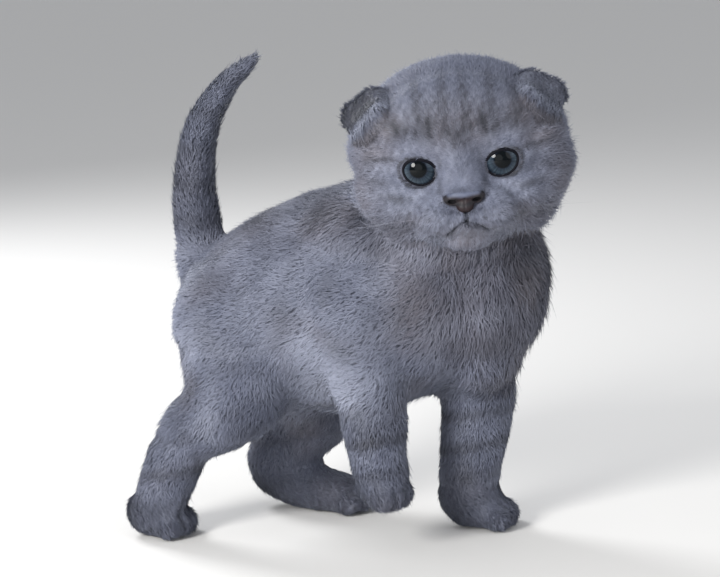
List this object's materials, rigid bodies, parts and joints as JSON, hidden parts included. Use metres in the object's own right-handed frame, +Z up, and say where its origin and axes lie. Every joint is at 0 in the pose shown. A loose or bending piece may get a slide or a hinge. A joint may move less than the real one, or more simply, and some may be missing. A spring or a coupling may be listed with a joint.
{
  "type": "scottish fold kitten",
  "caption": "Life-size fold-eared blue kitten standing with one forepaw raised, head turned to its right and tail up.",
  "frame": {"origin": "on the floor, under the middle of the model's box", "axes": "-Y the way the trunk points, +X the kitten's left side, +Z up"},
  "size_m": [0.0848, 0.1445, 0.1492],
  "materials": {
    "coat": "short plush blue-grey fur",
    "tail_coat": "short plush fur, darker than the body",
    "ear_coat": "very short dark grey fur",
    "paw_coat": "very short dark grey fur",
    "eye": "wet gloss over a steel blue iris",
    "nose_leather": "fine-grained, slightly moist"
  },
  "bodies": {
    "root": {"head": "coat", "neck": "coat", "torso": "coat", "foreleg_left": "coat", "foreleg_right": "coat", "thigh_left": "coat", "thigh_right": "coat", "shank_left": "coat", "shank_right": "coat", "tail": "tail_coat", "ear_left": "ear_coat", "ear_right": "ear_coat", "paw_front_left": "paw_coat", "paw_front_right": "paw_coat", "paw_hind_left": "paw_coat", "paw_hind_right": "paw_coat", "eye_left": "eye", "eye_right": "eye", "nose": "nose_leather"}
  },
  "joints": []
}
